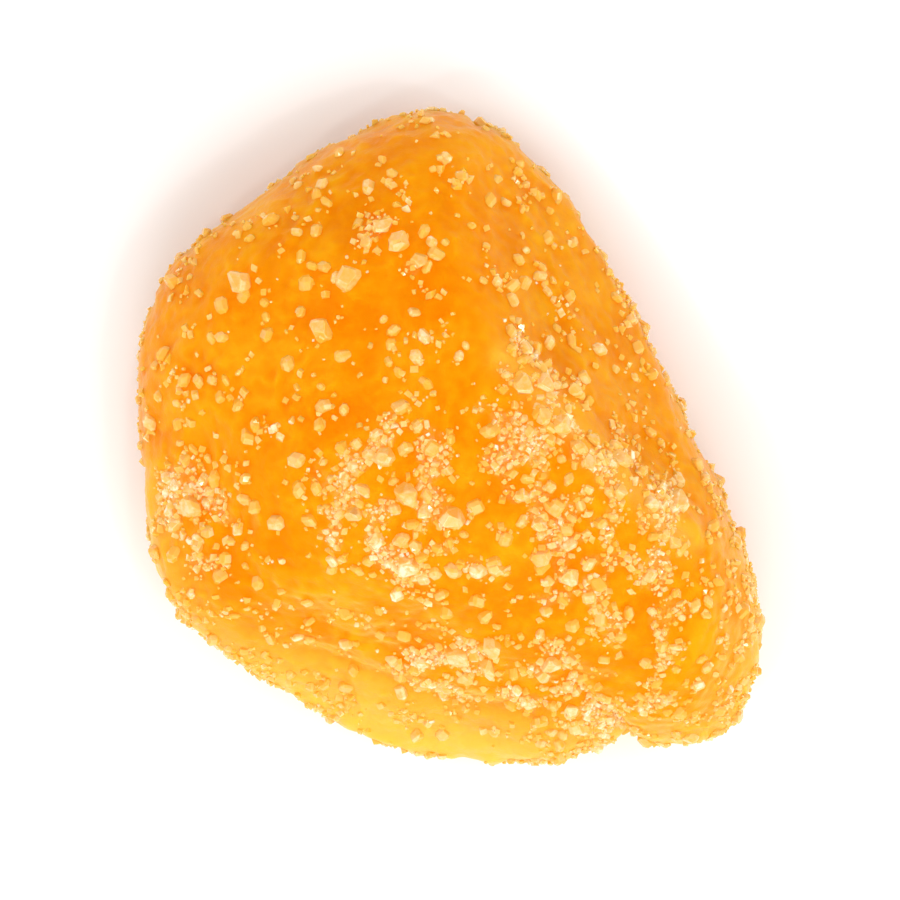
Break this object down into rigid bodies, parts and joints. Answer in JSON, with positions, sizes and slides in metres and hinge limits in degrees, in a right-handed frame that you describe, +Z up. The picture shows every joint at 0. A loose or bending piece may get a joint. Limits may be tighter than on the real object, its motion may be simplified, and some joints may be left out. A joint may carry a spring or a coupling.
{
  "type": "dried apricot",
  "caption": "One cut piece of candied dried apricot: a soft, lumpy amber lump with a flat underside, a knife-cut side, a creased lobe and a crust of sugar crystals.",
  "frame": {"origin": "on the surface that the piece lies on, under the middle of its outline's box", "axes": "+Z up, away from the flat underside; +Y along the longest extent, towards the blunt thick end; +X towards the knife-cut side"},
  "size_m": [0.0228, 0.0242, 0.0114],
  "materials": {
    "candied_flesh": "satin",
    "sugar": "satin"
  },
  "bodies": {
    "root": {"apricot_flesh": "candied_flesh", "sugar_crest_01": "sugar", "sugar_crest_02": "sugar", "sugar_crest_03": "sugar", "sugar_crest_04": "sugar", "sugar_crest_05": "sugar", "sugar_crest_06": "sugar", "sugar_crest_07": "sugar", "sugar_crest_08": "sugar", "sugar_crest_09": "sugar", "sugar_crest_10": "sugar", "sugar_crest_11": "sugar", "sugar_crest_12": "sugar", "sugar_crest_13": "sugar", "sugar_left_01": "sugar", "sugar_left_02": "sugar", "sugar_left_03": "sugar", "sugar_left_04": "sugar", "sugar_left_05": "sugar", "sugar_lower_01": "sugar", "sugar_lower_02": "sugar", "sugar_lower_03": "sugar", "sugar_lower_04": "sugar", "sugar_lower_05": "sugar", "sugar_lower_06": "sugar", "sugar_lower_07": "sugar", "sugar_lower_08": "sugar", "sugar_lower_09": "sugar", "sugar_middle_01": "sugar", "sugar_middle_02": "sugar", "sugar_middle_03": "sugar", "sugar_middle_04": "sugar", "sugar_middle_05": "sugar", "sugar_middle_06": "sugar", "sugar_middle_07": "sugar", "sugar_middle_08": "sugar", "sugar_middle_09": "sugar", "sugar_middle_10": "sugar", "sugar_middle_11": "sugar", "sugar_middle_12": "sugar", "sugar_middle_13": "sugar", "sugar_middle_14": "sugar", "sugar_upper_01": "sugar", "sugar_upper_02": "sugar", "sugar_upper_03": "sugar", "sugar_upper_04": "sugar", "sugar_upper_05": "sugar", "sugar_upper_06": "sugar", "sugar_upper_07": "sugar"}
  },
  "joints": []
}
